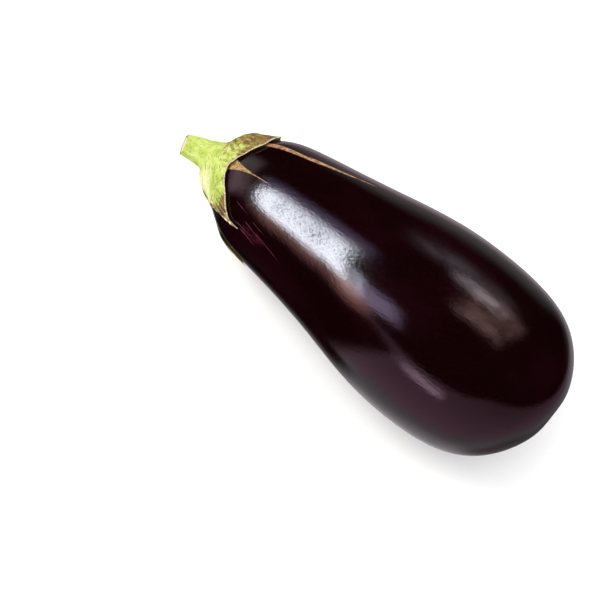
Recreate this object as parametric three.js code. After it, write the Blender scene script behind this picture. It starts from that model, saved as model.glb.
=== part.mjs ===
import * as THREE from 'three';

// An eggplant lying on its side: the fruit, the leafy calyx that hugs its neck and the cut stem.
// Millimetres, +Z up, stem end towards -X, blossom end towards +X, resting on the plane Z = 0.
// Each piece is shaped in the fruit's own frame first: X along its axis from the neck pole,
// angles round the axis counted in degrees from local +Z towards local +Y.

// ---- driving dimensions, in millimetres and degrees ----

const fruitLength = 210.5;
// Radius of the fruit at stations along its length, stem end to blossom end.
const girths = [
  [8, 14.5], [17, 21.7], [32, 29.9], [50, 33.1], [72, 36.0], [95, 39.7],
  [118, 43.8], [141, 45.9], [162, 45.3], [179, 42.3], [192, 36.3], [202, 26.3],
];
const neckRoundness = 37.5;      // radius a plain ellipsoid of this length would need at the neck pole
const blossomRoundness = 67.5;   // the same at the blossom pole
const neckSway = 1.3;            // sideways shift of the neck from the straight axis
const blossomSway = -1.5;        // the same near the blossom end
const blossomSag = 9.2;          // how far the blossom pole bends down
const sagStart = 0.6;            // share of the length where that bend begins
const dimpleDepth = 1.4;         // hollow round the blossom scar
const dimpleRadius = 6;

const pitch = 7.5;               // the neck lies this much lower than level
const roll = 21.1;               // turn about the fruit's own axis
const flatDepth = 1.2;           // how much of the belly is pressed flat where it rests

const gap = 0.4;                 // clearance between neighbouring pieces
const stemHole = 8.7;            // radius of the calyx's hole round the stem's foot
const collarTop = 0.6;           // where the collar ends on the stem, as a share of its length
const collarHeight = 6.5;        // height of the calyx above the skin, close to the stem
const collarFade = 1.4;          // how squarely that height falls away
const collarSpread = 5;          // distance over which the collar flares out to the skin
const lobeThickness = 2.1;
const edgeThickness = 0.8;
const thinning = 1.3;            // over 1, the lobes thin mostly towards their edges
const swellAt = 0.4;             // the swelling's place between stem and edge, as a share
const swellSpread = 0.28;
const ribHeight = 0.9;           // rib along the middle of each lobe
const ribWidth = 3.2;
const curlStart = 4;             // higher values keep the curl closer to the lobe's edge
const squareBy = 21;             // radius past which the calyx stands square on the skin
// One lobe of the calyx each: where its tip is, how far along the fruit it reaches, how far its tip
// curls off the skin, how far its back swells, how hollow its two edges are, and the notch after it.
const lobes = [
  { tip: 68, reach: 26, curl: 0.4, swell: 1.9, before: 0.6, after: 1.3, notch: 106, notchReach: 19 },
  { tip: 138, reach: 37, curl: 0.8, swell: 0.8, before: 1.5, after: 1.4, notch: 172, notchReach: 17 },
  { tip: 206, reach: 31, curl: 0.3, swell: 0.4, before: 1.2, after: 1.3, notch: 236, notchReach: 16 },
  { tip: 266, reach: 47, curl: 0.9, swell: 0.2, before: 1.3, after: 1.1, notch: 275, notchReach: 12.5 },
  { tip: 320, reach: 42, curl: 1.2, swell: 0.2, before: 5, after: 1.4, notch: 362, notchReach: 20.5 },
];

const stemCurve = new THREE.QuadraticBezierCurve3(
  new THREE.Vector3(-18.6, -1.9, 4.2),
  new THREE.Vector3(-8.5, 1, 0),
  new THREE.Vector3(-2, neckSway, 0),
);
const stemRadii = [[0, 5.3], [0.3, 6.5], [0.6, 7.5], [1, 7.4]];   // share of its length from the cut
const stemRidges = 9;
const stemRidgeHeight = 0.32;
const ridgesEnd = 0.4;           // share of the stem where the ridges begin to fade
const cutSlant = 24;             // the knife cut faces this much upwards
const cutReach = 0.4;            // share of the stem over which its sides take up that slant
const cutChamfer = 0.5;

const aroundFruit = 64;
const alongFruit = 40;
const perLobeEdge = 8;           // columns from a notch to a tip
const alongCalyxTop = 12;
const alongCalyxUnder = 7;
const aroundStem = 36;
const alongStem = 12;

// ---- shared helpers ----

const radians = THREE.MathUtils.degToRad;

// A smooth curve through [position, value] stations.
function through(stations) {
  const positions = stations.map(([position]) => position);
  const values = stations.map(([, value]) => value);
  const curve = new THREE.CubicInterpolant(positions, values, 1);
  return (position) => curve.evaluate(position)[0];
}

// A closed body from rings of points. Each end is capped round the given point, or with no such
// points the ends are joined to each other.
function bodyFromRings(rings, firstPole, lastPole) {
  const count = rings[0].length;
  const points = rings.flat();
  const faces = [];
  const lastRing = firstPole ? rings.length - 1 : rings.length;
  for (let ring = 0; ring < lastRing; ring += 1) {
    const here = ring * count;
    const next = ((ring + 1) % rings.length) * count;
    for (let column = 0; column < count; column += 1) {
      const beside = (column + 1) % count;
      faces.push(here + column, next + column, next + beside);
      faces.push(here + column, next + beside, here + beside);
    }
  }
  if (firstPole) {
    const firstCentre = points.length;
    const lastCentre = firstCentre + 1;
    points.push(firstPole, lastPole);
    const lastStart = (rings.length - 1) * count;
    for (let column = 0; column < count; column += 1) {
      const beside = (column + 1) % count;
      faces.push(firstCentre, column, beside);
      faces.push(lastCentre, lastStart + beside, lastStart + column);
    }
  }
  const geometry = new THREE.BufferGeometry().setFromPoints(points);
  geometry.setIndex(faces);
  return geometry;
}

// ---- the fruit's skin, as a function of the angle along it and the angle round it ----

// The angle along runs from 0 at the neck pole to pi at the blossom pole.
function alongAt(distance) {
  return Math.acos(1 - (2 * distance) / fruitLength);
}

const fullness = through([
  [0, neckRoundness],
  ...girths.map(([distance, radius]) => [alongAt(distance), radius / Math.sin(alongAt(distance))]),
  [Math.PI, blossomRoundness],
]);
const sway = through([
  [0, neckSway], [0.45, neckSway], [0.85, blossomSway], [1, blossomSway / 3],
]);

function meridian(along) {
  const share = (1 - Math.cos(along)) / 2;
  const radius = fullness(along) * Math.sin(along);
  const nearBlossom = along > Math.PI / 2 ? Math.exp(-((radius / dimpleRadius) ** 2)) : 0;
  return { share, radius, distance: share * fruitLength - dimpleDepth * nearBlossom };
}

// Outward direction of the skin in the plane through the axis: [along the axis, away from it].
function outward(along) {
  const step = 0.001;
  const before = meridian(Math.max(along - step, 0));
  const after = meridian(Math.min(along + step, Math.PI));
  const run = after.distance - before.distance;
  const rise = after.radius - before.radius;
  const length = Math.hypot(run, rise);
  return [-rise / length, run / length];
}

// A point at the given offsets from the skin, along the axis and away from it.
function skinPoint(along, round, axialOffset = 0, radialOffset = 0) {
  const { share, radius, distance } = meridian(along);
  const bend = Math.max(share - sagStart, 0) / (1 - sagStart);
  const sag = blossomSag * bend ** 3;
  const lean = Math.atan((3 * blossomSag * bend ** 2) / ((1 - sagStart) * fruitLength));
  const reach = radius + radialOffset;
  const upward = reach * Math.cos(round);
  return new THREE.Vector3(
    distance + axialOffset + upward * Math.sin(lean),
    sway(share) + reach * Math.sin(round),
    upward * Math.cos(lean) - sag,
  );
}

// ---- the fruit ----

function fruitGeometry() {
  const rings = [];
  for (let row = 1; row < alongFruit; row += 1) {
    const along = (Math.PI * row) / alongFruit;
    const ring = [];
    for (let column = 0; column < aroundFruit; column += 1) {
      ring.push(skinPoint(along, (2 * Math.PI * column) / aroundFruit));
    }
    rings.push(ring);
  }
  return bodyFromRings(rings, skinPoint(0, 0), skinPoint(Math.PI, 0));
}

// ---- the stem ----

const stemRadiusAt = through(stemRadii);

// A point off the stem's side, at a share of its length from the cut.
function stemPoint(share, round, offset) {
  const tangent = stemCurve.getTangent(share);
  const upward = new THREE.Vector3().crossVectors(tangent, new THREE.Vector3(0, 1, 0)).normalize();
  const sideways = new THREE.Vector3().crossVectors(upward, tangent);
  const ridged = 1 - THREE.MathUtils.smoothstep(share, ridgesEnd, collarTop);
  const ridge = stemRidgeHeight * Math.cos(stemRidges * round) * ridged;
  const radius = stemRadiusAt(share) + ridge + offset;
  const slant = Math.tan(radians(cutSlant)) * Math.max(1 - share / cutReach, 0);
  return stemCurve.getPoint(share)
    .addScaledVector(upward, radius * Math.cos(round))
    .addScaledVector(sideways, radius * Math.sin(round))
    .addScaledVector(tangent, slant * radius * Math.cos(round));
}

function stemGeometry() {
  const rounds = Array.from({ length: aroundStem }, (_, column) => (2 * Math.PI * column) / aroundStem);
  const outwards = stemCurve.getTangent(0).multiplyScalar(cutChamfer);
  const rings = [rounds.map((round) => stemPoint(0, round, -cutChamfer).sub(outwards))];
  for (let row = 0; row <= alongStem; row += 1) {
    rings.push(rounds.map((round) => stemPoint(row / alongStem, round, 0)));
  }
  // The foot is hollowed to sit on the domed neck.
  [1, 0.5].forEach((share) => {
    const along = Math.asin((share * stemRadiusAt(1)) / neckRoundness);
    rings.push(rounds.map((round) => skinPoint(along, round, -gap)));
  });
  return bodyFromRings(rings, stemCurve.getPoint(0).sub(outwards), skinPoint(0, 0, -gap));
}

// ---- the calyx ----

// Columns round the calyx, close together where the lobes are narrow, each with the reach of its edge.
function calyxColumns() {
  const columns = [];
  lobes.forEach((lobe, index) => {
    const previous = lobes[(index + lobes.length - 1) % lobes.length];
    const notchBefore = index === 0 ? previous.notch - 360 : previous.notch;
    const sides = [
      { from: notchBefore, base: previous.notchReach, hollow: lobe.before },
      { from: lobe.notch, base: lobe.notchReach, hollow: lobe.after },
    ];
    sides.forEach((side, which) => {
      for (let step = 0; step < perLobeEdge; step += 1) {
        const share = which === 0 ? step / perLobeEdge : 1 - step / perLobeEdge;
        columns.push({
          round: THREE.MathUtils.lerp(side.from, lobe.tip, share),
          reach: side.base + (lobe.reach - side.base) * share ** side.hollow,
          curl: lobe.curl * share ** 2,
          swell: lobe.swell * Math.min(share * 1.5, 1),
          lobe,
        });
      }
    });
  });
  return columns;
}

// Height of the calyx's outside above the skin.
function calyxHeight(radius, share, column) {
  const outFromStem = Math.max(radius - stemHole, 0) / collarSpread;
  const collar = collarHeight * Math.exp(-(outFromStem ** collarFade));
  const body = THREE.MathUtils.lerp(lobeThickness, edgeThickness, share ** thinning);
  const fromRib = (radians(column.round - column.lobe.tip) * radius) / ribWidth;
  const rib = ribHeight * Math.exp(-(fromRib ** 2)) * Math.sin(Math.PI * Math.min(share + 0.1, 1));
  const swell = column.swell * Math.exp(-(((share - swellAt) / swellSpread) ** 2));
  return Math.max(collar, body) + rib + swell;
}

function calyxPoint(column, share, top) {
  const hub = Math.asin(stemHole / neckRoundness);
  const along = THREE.MathUtils.lerp(hub, alongAt(column.reach), share);
  const { radius } = meridian(along);
  const height = top ? calyxHeight(radius, share, column) : 0;
  const lift = gap + height + column.curl * share ** curlStart;
  // Straight up beside the stem, square to the skin further out.
  const [axial, radial] = outward(along);
  const square = THREE.MathUtils.smoothstep(radius, stemHole, squareBy);
  const direction = new THREE.Vector2(THREE.MathUtils.lerp(-1, axial, square), radial * square);
  direction.normalize();
  return skinPoint(along, radians(column.round), direction.x * lift, direction.y * lift);
}

function calyxGeometry() {
  const columns = calyxColumns();
  const rings = [columns.map((column) => stemPoint(collarTop, radians(column.round), gap))];
  for (let row = 1; row <= alongCalyxTop; row += 1) {
    rings.push(columns.map((column) => calyxPoint(column, row / alongCalyxTop, true)));
  }
  for (let row = alongCalyxUnder; row >= 0; row -= 1) {
    rings.push(columns.map((column) => calyxPoint(column, row / alongCalyxUnder, false)));
  }
  return bodyFromRings(rings);
}

// ---- laying it down ----

const fruit = fruitGeometry();
const calyx = calyxGeometry();
const stem = stemGeometry();

const lie = new THREE.Matrix4().makeRotationY(radians(-pitch))
  .multiply(new THREE.Matrix4().makeRotationX(radians(roll)));
[fruit, calyx, stem].forEach((geometry) => geometry.applyMatrix4(lie));

// The fruit's lowest part is pressed flat, and that flat becomes the plane Z = 0.
fruit.computeBoundingBox();
const floor = fruit.boundingBox.min.z + flatDepth;
const bounds = new THREE.Box3();
[fruit, calyx, stem].forEach((geometry) => {
  geometry.computeBoundingBox();
  bounds.union(geometry.boundingBox);
});
const centre = bounds.getCenter(new THREE.Vector3());
[fruit, calyx, stem].forEach((geometry) => geometry.translate(-centre.x, -centre.y, -floor));
const skin = fruit.attributes.position;
for (let index = 0; index < skin.count; index += 1) {
  skin.setZ(index, Math.max(skin.getZ(index), 0));
}

const purpleSkin = new THREE.MeshStandardMaterial({ color: 0x24101f, roughness: 0.22, metalness: 0 });
const greenCalyx = new THREE.MeshStandardMaterial({ color: 0x9db545, roughness: 0.7, metalness: 0 });
const greenStem = new THREE.MeshStandardMaterial({ color: 0xb5cf52, roughness: 0.65, metalness: 0 });

const eggplant = new THREE.Group();
[['fruit', fruit, purpleSkin], ['calyx', calyx, greenCalyx], ['stem', stem, greenStem]]
  .forEach(([name, geometry, material]) => {
    const mesh = new THREE.Mesh(geometry, material);
    mesh.name = name;
    eggplant.add(mesh);
  });

export default eggplant;
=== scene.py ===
import bisect
import math

import bpy
import numpy as np
from mathutils import Matrix, Vector, noise


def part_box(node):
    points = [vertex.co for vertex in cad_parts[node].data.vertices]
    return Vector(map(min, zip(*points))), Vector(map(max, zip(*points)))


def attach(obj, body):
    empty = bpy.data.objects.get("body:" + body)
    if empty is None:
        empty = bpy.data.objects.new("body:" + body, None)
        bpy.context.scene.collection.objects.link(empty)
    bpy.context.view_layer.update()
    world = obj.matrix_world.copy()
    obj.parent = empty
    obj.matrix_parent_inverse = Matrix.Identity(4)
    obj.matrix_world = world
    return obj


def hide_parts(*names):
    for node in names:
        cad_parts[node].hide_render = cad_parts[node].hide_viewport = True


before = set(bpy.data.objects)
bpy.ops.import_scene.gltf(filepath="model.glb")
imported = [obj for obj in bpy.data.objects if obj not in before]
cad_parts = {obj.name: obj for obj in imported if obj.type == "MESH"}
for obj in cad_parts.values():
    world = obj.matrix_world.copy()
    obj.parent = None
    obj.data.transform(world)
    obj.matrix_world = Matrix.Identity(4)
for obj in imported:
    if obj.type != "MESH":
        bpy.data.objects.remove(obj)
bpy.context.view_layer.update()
print("frame loaded:", ", ".join(sorted(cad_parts)))

mm = 0.001
pi = math.pi


def hexToLinear(code, alpha=1.0):
    # sRGB hex to the linear colour that shader sockets hold
    values = [int(code[i:i + 2], 16) / 255 for i in (0, 2, 4)]
    return [v / 12.92 if v <= 0.04045 else ((v + 0.055) / 1.055) ** 2.4 for v in values] + [alpha]


def addNode(tree, kind, links=None, out=0, **settings):
    # links: what goes into which socket, by name or number, or a list in the sockets' order; each is
    # another node's output or a plain value; hands back one output
    node = tree.nodes.new("ShaderNode" + kind)
    for name, value in settings.items():
        setattr(node, name, value)
    links = links or {}
    for socket, value in links.items() if isinstance(links, dict) else enumerate(links):
        if isinstance(value, bpy.types.NodeSocket):
            tree.links.new(value, node.inputs[socket])
        else:
            node.inputs[socket].default_value = value
    return node.outputs[out] if node.outputs else node


# settings that many nodes share
colourMix = {"out": 2, "data_type": "RGBA"}
softRange = {"interpolation_type": "SMOOTHSTEP"}
noiseSpan = (0.3, 0.7)           # nearly all of a noise's values lie between these


def newMaterial(name):
    material = bpy.data.materials.new(name)
    material.use_nodes = True
    material.node_tree.nodes.clear()
    return material


def smoothThrough(stations):
    # natural cubic spline through (position, value) stations
    at = np.array([s[0] for s in stations], float)
    value = np.array([s[1] for s in stations], float)
    gap = np.diff(at)
    count = len(at)
    left = np.eye(count)
    right = np.zeros(count)
    for i in range(1, count - 1):
        left[i, i - 1:i + 2] = gap[i - 1], 2 * (gap[i - 1] + gap[i]), gap[i]
        right[i] = 6 * ((value[i + 1] - value[i]) / gap[i] - (value[i] - value[i - 1]) / gap[i - 1])
    curve = np.linalg.solve(left, right).tolist()
    at, value, gap = at.tolist(), value.tolist(), gap.tolist()

    def valueAt(position):
        i = min(max(bisect.bisect_left(at, position) - 1, 0), count - 2)
        before = position - at[i]
        after = at[i + 1] - position
        straight = (value[i] * after + value[i + 1] * before) / gap[i]
        bent = (curve[i] * (after ** 3 / gap[i] - gap[i] * after)
                + curve[i + 1] * (before ** 3 / gap[i] - gap[i] * before))
        return straight + bent / 6
    return valueAt


def smoothStep(value, low, high):
    share = min(max((value - low) / (high - low), 0.0), 1.0)
    return share * share * (3 - 2 * share)


def mix(first, second, share):
    return first + (second - first) * share


def deselectAll():
    if bpy.context.mode != "OBJECT":
        bpy.ops.object.mode_set(mode="OBJECT")
    bpy.ops.object.select_all(action="DESELECT")


def editWhere(piece, chosen):
    # into edit mode with only the vertices that pass the test selected
    deselectAll()
    piece.select_set(True)
    bpy.context.view_layer.objects.active = piece
    bpy.ops.object.mode_set(mode="EDIT")
    bpy.ops.mesh.select_mode(type="VERT")
    bpy.ops.mesh.select_all(action="DESELECT")
    bpy.ops.object.mode_set(mode="OBJECT")
    for vertex in piece.data.vertices:
        vertex.select = chosen(vertex.co)
    bpy.ops.object.mode_set(mode="EDIT")


def applyModifier(piece, kind, **settings):
    modifier = piece.modifiers.new(kind.title(), kind)
    for name, value in settings.items():
        setattr(modifier, name, value)
    bpy.context.view_layer.objects.active = piece
    bpy.ops.object.modifier_apply(modifier=modifier.name)


# the fruit's form, in millimetres and degrees: X runs along the fruit's own axis from the neck pole,
# and angles round it count from local +Z to local +Y; a girth is a place along X and the radius there
fruitForm = {
    "length": 210.5,
    "girths": [(8, 14.5), (17, 21.65), (32, 29.78), (45, 32.36), (54, 33.56), (60, 34.32), (72, 36.0),
               (95, 39.7), (118, 43.8), (141, 45.9), (162, 45.3), (179, 42.3), (192, 36.3), (202, 26.3)],
    "neckRoundness": 37.5,
    "blossomRoundness": 67.5,
    "neckSway": 1.3,
    "blossomSway": -1.5,
    "blossomSag": 9.2,
    "sagStart": 0.6,
    "dimpleDepth": 1.4,
    "dimpleRadius": 6,
    "pitch": 7.5,
    "roll": 21.1,
}


def alongAt(distance):
    # 0 at the neck pole, pi at the blossom pole
    return math.acos(1 - 2 * distance / fruitForm["length"])


fullness = smoothThrough(
    [(0, fruitForm["neckRoundness"])]
    + [(alongAt(x), radius / math.sin(alongAt(x))) for x, radius in fruitForm["girths"]]
    + [(pi, fruitForm["blossomRoundness"])])
sway = smoothThrough([(0, fruitForm["neckSway"]), (0.45, fruitForm["neckSway"]),
                      (0.85, fruitForm["blossomSway"]), (1, fruitForm["blossomSway"] / 3)])


def meridian(along):
    # share of the length, radius, distance along the axis
    share = (1 - math.cos(along)) / 2
    radius = fullness(along) * math.sin(along)
    dimple = math.exp(-(radius / fruitForm["dimpleRadius"]) ** 2) if along > pi / 2 else 0
    return share, radius, share * fruitForm["length"] - fruitForm["dimpleDepth"] * dimple


def sagAt(share):
    # how far the axis has bent down, and how steeply
    start = fruitForm["sagStart"]
    bend = max(share - start, 0) / (1 - start)
    sag = fruitForm["blossomSag"] * bend ** 3
    lean = math.atan(3 * fruitForm["blossomSag"] * bend ** 2 / ((1 - start) * fruitForm["length"]))
    return sag, lean


def outward(along):
    # the skin's outward direction: along the axis, away from it
    _, radiusBefore, xBefore = meridian(max(along - 0.001, 0))
    _, radiusAfter, xAfter = meridian(along + 0.001)
    run = xAfter - xBefore
    rise = radiusAfter - radiusBefore
    size = math.hypot(run, rise)
    return -rise / size, run / size


def skinPoint(along, turn, axial=0.0, radial=0.0):
    share, radius, distance = meridian(along)
    sag, lean = sagAt(share)
    upward = (radius + radial) * math.cos(turn)
    return Vector((distance + axial + upward * math.sin(lean),
                   sway(share) + (radius + radial) * math.sin(turn),
                   upward * math.cos(lean) - sag))


def layingMatrix():
    # from the fruit's own frame in millimetres to where the CAD fruit lies, in metres
    turned = (Matrix.Rotation(math.radians(-fruitForm["pitch"]), 3, "Y")
              @ Matrix.Rotation(math.radians(fruitForm["roll"]), 3, "X"))
    steps = 48
    points = np.array([turned @ skinPoint(pi * row / steps, 2 * pi * column / steps)
                       for row in range(steps + 1) for column in range(steps)]) * mm
    low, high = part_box("fruit")
    middle = (points.min(axis=0) + points.max(axis=0)) / 2
    shift = Vector(((low[0] + high[0]) / 2 - middle[0],
                    (low[1] + high[1]) / 2 - middle[1],
                    high[2] - points[:, 2].max()))
    return Matrix.Translation(shift) @ turned.to_4x4() @ Matrix.Scale(mm, 4)


lay = layingMatrix()
print("laying place of the neck pole, m:", [round(v, 4) for v in lay.translation])


cameraSetup = {
    "azimuth": 43.56,
    "elevation": 63.24,
    "distance": 0.8201,
    "lens": 100,
    "sidewaysFromNeck": 0.04094,     # the aim point, from the neck pole, as the camera sees it
    "downFromNeck": 0.06712,
}


def makeCamera():
    azimuth = math.radians(cameraSetup["azimuth"])
    elevation = math.radians(cameraSetup["elevation"])
    back = Vector((math.sin(azimuth) * math.cos(elevation), -math.cos(azimuth) * math.cos(elevation),
                   math.sin(elevation)))
    rightward = Vector((math.cos(azimuth), math.sin(azimuth), 0))
    upward = back.cross(rightward)
    aim = (lay.translation + rightward * cameraSetup["sidewaysFromNeck"]
           - upward * cameraSetup["downFromNeck"])
    camera = bpy.data.objects.new("camera", bpy.data.cameras.new("camera"))
    bpy.context.collection.objects.link(camera)
    camera.location = aim + back * cameraSetup["distance"]
    camera.rotation_euler = (pi / 2 - elevation, 0, azimuth)
    camera.data.lens = cameraSetup["lens"]
    bpy.context.scene.camera = camera


makeCamera()


fruitMesh = {
    "around": 32,
    "rings": 40,
    "poleRing": 1.0,             # radius of the first and last ring, mm
    "smoothing": 3,
    "waveHeight": 0.35,          # mm, the slow unevenness of a grown fruit
    "waveLength": 42,            # mm
    "rippleHeight": 0.03,
    "rippleLength": 13,
}


def fruitStations():
    # ring places from pole to pole: centre, radius, lean
    first = math.asin(fruitMesh["poleRing"] / fruitForm["neckRoundness"])
    last = pi - math.asin(fruitMesh["poleRing"] / fruitForm["blossomRoundness"])
    swell = 3 / (2 + math.cos(2 * pi / fruitMesh["around"]))    # subdivision draws each ring in by this
    stations = []
    for ring in range(fruitMesh["rings"]):
        share, radius, distance = meridian(mix(first, last, ring / (fruitMesh["rings"] - 1)))
        sag, lean = sagAt(share)
        stations.append((Vector((distance, sway(share), -sag)), radius * swell, lean))
    return stations


def markSkinMap(piece):
    # UV map of the skin: across, turns round the axis with the seam on the hidden side; up, the length
    mesh = piece.data
    count = len(mesh.vertices)
    places = np.empty(count * 3)
    mesh.vertices.foreach_get("co", places)
    places = places.reshape(-1, 3)
    share = np.clip(places[:, 0] / fruitForm["length"], 0, 1)
    sags = np.array([sagAt(s)[0] for s in share])
    sways = np.array([sway(s) for s in share])
    turn = np.arctan2(places[:, 1] - sways, places[:, 2] + sags) / (2 * pi) + 0.5
    corners = np.empty(len(mesh.loops), int)
    mesh.loops.foreach_get("vertex_index", corners)
    across = turn[corners]
    for polygon in mesh.polygons:
        span = slice(polygon.loop_start, polygon.loop_start + polygon.loop_total)
        if across[span].max() - across[span].min() > 0.5:
            across[span] = np.where(across[span] < 0.5, across[span] + 1, across[span])
    layer = mesh.uv_layers.new(name="skinMap")
    layer.data.foreach_set("uv", np.stack([across, share[corners]], axis=1).ravel())


def makeFruit():
    stations = fruitStations()
    centre, radius, lean = stations[0]
    deselectAll()
    bpy.ops.mesh.primitive_circle_add(vertices=fruitMesh["around"], radius=radius, location=centre,
                                      rotation=(0, pi / 2, 0), fill_type="TRIFAN")
    fruit = bpy.context.active_object
    fruit.name = "fruitSkin"
    bpy.ops.object.transform_apply(location=True, rotation=True, scale=True)
    bpy.ops.object.mode_set(mode="EDIT")
    bpy.ops.mesh.select_mode(type="EDGE")
    bpy.ops.mesh.select_all(action="SELECT")
    bpy.ops.mesh.region_to_loop()
    for nextCentre, nextRadius, nextLean in stations[1:]:
        bpy.ops.mesh.extrude_edges_move(TRANSFORM_OT_translate={"value": nextCentre - centre})
        size = nextRadius / radius
        bpy.ops.transform.resize(value=(size, size, size), center_override=nextCentre)
        if nextLean != lean:
            # without a window this turns the other way round
            bpy.ops.transform.rotate(value=lean - nextLean, orient_axis="Y", center_override=nextCentre)
        centre, radius, lean = nextCentre, nextRadius, nextLean
    bpy.ops.mesh.extrude_edges_move()
    bpy.ops.mesh.merge(type="CENTER")
    bpy.ops.mesh.select_all(action="SELECT")
    bpy.ops.mesh.normals_make_consistent(inside=False)
    bpy.ops.object.mode_set(mode="OBJECT")
    applyModifier(fruit, "SUBSURF", levels=fruitMesh["smoothing"], render_levels=fruitMesh["smoothing"])
    markSkinMap(fruit)
    for name in ("wave", "ripple"):
        texture = bpy.data.textures.new(name, "CLOUDS")
        texture.noise_scale = fruitMesh[name + "Length"]
        texture.noise_depth = 1
        applyModifier(fruit, "DISPLACE", texture=texture, strength=fruitMesh[name + "Height"],
                      mid_level=0.75, texture_coords="LOCAL")
    fruit.data.transform(lay)
    editWhere(fruit, lambda place: place.z < 0)
    bpy.ops.transform.resize(value=(1, 1, 0), center_override=(0, 0, 0))    # the belly pressed flat
    bpy.ops.object.mode_set(mode="OBJECT")
    bpy.ops.object.shade_smooth()
    return fruit


fruit = makeFruit()
print("fruit:", len(fruit.data.polygons), "faces")


# the calyx's outline: degrees round the fruit, mm along it from the neck pole
calyxOutline = [
    (-180, 22), (-167, 27), (-156, 31), (-146, 24), (-134, 16), (-122, 19), (-112, 30), (-100, 41),
    (-86, 48.5), (-80, 44), (-78, 39), (-79.5, 34), (-82.5, 29), (-90, 24), (-97, 17), (-92, 12.4),
    (-80, 11.4), (-70, 12), (-62.5, 15.5), (-55, 20), (-48, 24.5), (-44.5, 29), (-43, 33),
    (-42.6, 36.5), (-41.6, 39.4), (-40.9, 42), (-40.4, 44.2), (-39.8, 45.8), (-39.6, 44), (-39.7, 41),
    (-39.2, 38.4), (-37.0, 36.2), (-33, 33.8), (-30, 32.6), (-23.5, 29.6), (-17, 25.8), (-10, 22.6),
    (-3, 21.1), (2, 20.4), (8, 21.3), (17, 23.8), (28, 26.2), (40, 27.6), (55, 27.3), (68, 26),
    (82, 22.5), (106, 19), (120, 23), (131, 31), (138, 36.5), (146, 30), (158, 21), (171, 17.5),
    (180, 22),
]

calyxForm = {
    "columns": 240,
    "tips": (-156, -86, 68, 138),      # degrees round of the corners that a rib runs to
    "edgeRadius": 27,            # turns degrees round the fruit into mm along the calyx's edge
    "gap": 0.4,                  # clear of the skin, mm
    "stemHole": 8.7,
    "evenUntil": 0.75,           # share of the reach over which the columns leave their even spacing
    "squareBy": 21,              # radius from which the calyx stands square on the skin
    "raggedness": 0.6,           # mm
    "raggedSteps": (0.21, 0.6),  # noise cells per column, slow and fine
    "fineRagged": 0.8,           # how strong the fine one is
    "edgeBulge": 0.18,
    "collarHeight": 6.5,
    "collarFade": 1.4,
    "collarSpread": 5,
    "thickness": 1.9,
    "edgeThickness": 0.55,
    "thinning": 1.2,
    "curlHeight": 0.6,
    "curlStart": 5,
    "curlWidth": 9,
    "curlWave": 0.35,
    "curlBetween": 0.55,         # share of the curl that is left between the tips
    "curlWithered": 0.8,         # shares that the withered lobe and the ribbon take from it
    "curlRibbon": 0.6,
    "ribHeight": 0.8, "ribWidth": 4,
    "veinHeight": 0.308, "veinWidth": 5.5, "veinFade": 6,
    "lumps": [(0.3, 4.5), (0.2, 1.8), (0.12, 0.9)],           # height and size of each kind, mm
    "lumpLimit": 1.2,
    "reliefAtStem": 0.35,        # share of veins and lumps that is left at the stem
    # odd places: the angle and how far it spreads, then what it does there
    "humpAngle": 62, "humpSpread": 26, "humpHeight": 2.4, "humpShare": 0.5, "humpLength": 0.28,
    "dipAngle": 65, "dipSpread": 45, "dipDepth": 2.2, "dipEnd": 0.15,     # the collar is lower here
    "shoulderAngle": -80, "shoulderSpread": 34, "shoulderHeight": 2.7,
    "shoulderShare": 0.45, "shoulderLength": 0.35, "shoulderEnd": (7, 13),
    "ribbonAngle": -40, "ribbonSpread": 15, "ribbonFrom": (14, 27),
    "creaseRate": 3.1, "creaseWander": 1.6, "creaseHeight": 0.36,
    "tailAngle": -42, "tailSpread": 7, "tailFrom": (34.5, 38.5), "tailThinning": 0.5,
    "tailCurl": 0.9, "tailTwist": (0.6, 0.9), "tailTwistLength": 2.2,
    "witheredAngle": -88, "witheredSpread": 20, "witheredFrom": (9, 16), "witheredThinning": 0.7,
    "witheredSwing": 15, "swingSpread": 14, "swingEnd": (18, 36),
}

# how dry each place is: 0 fresh, 1 brown, 2 bleached
calyxDryness = {
    "hump": 0.95, "humpSpread": 40, "humpFrom": (0.08, 0.36),
    "ribbon": 0.4,
    "edge": 0.35, "edgeFrom": (0.8, 1.0),
    "far": 0.7, "farFrom": (28, 40),
    "withered": 0.8, "witheredCrease": 1.2,
    "bleachedAngle": -46, "bleachedSpread": 9, "bleachedFrom": (23, 37),
}

stemForm = {
    "cut": Vector((-19.2, -2.3, 4.2)),
    "bend": Vector((-8.5, 1, 0)),
    "foot": Vector((-2, 1.3, 0)),
    "radii": [(0, 5.3), (0.3, 6.5), (0.6, 7.5), (1, 7.4)],
    "ridges": 9,
    "ridgeHeight": 0.34,
    "ridgesFade": (0.3, 0.55),
    "ridgeWander": [(0.35, 2, 0.7), (0.25, 3, 2)],      # radians, times round, start
    "ridgeSwell": (0.7, 0.3),    # the ridges are higher on one side
    "shownShare": 0.62,          # below this the collar hides it
    "cutSlant": 17,
    "cutReach": 0.4,
    "cutHollow": 0.7,
    "cutRoughness": 0.25,
}

# how the mesh's rows are shared out, from the middle of the cut to the hub under the calyx (their sum is
# one less than a multiple of four), and how they crowd towards one end of their part
rowPlan = {"cut": 9, "side": 18, "top": 43, "edge": 3, "under": 14, "hub": 4}
rowCrowding = {"cut": 0.7, "side": 1.15, "top": 1.25}

stemRadius = smoothThrough(stemForm["radii"])


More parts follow.
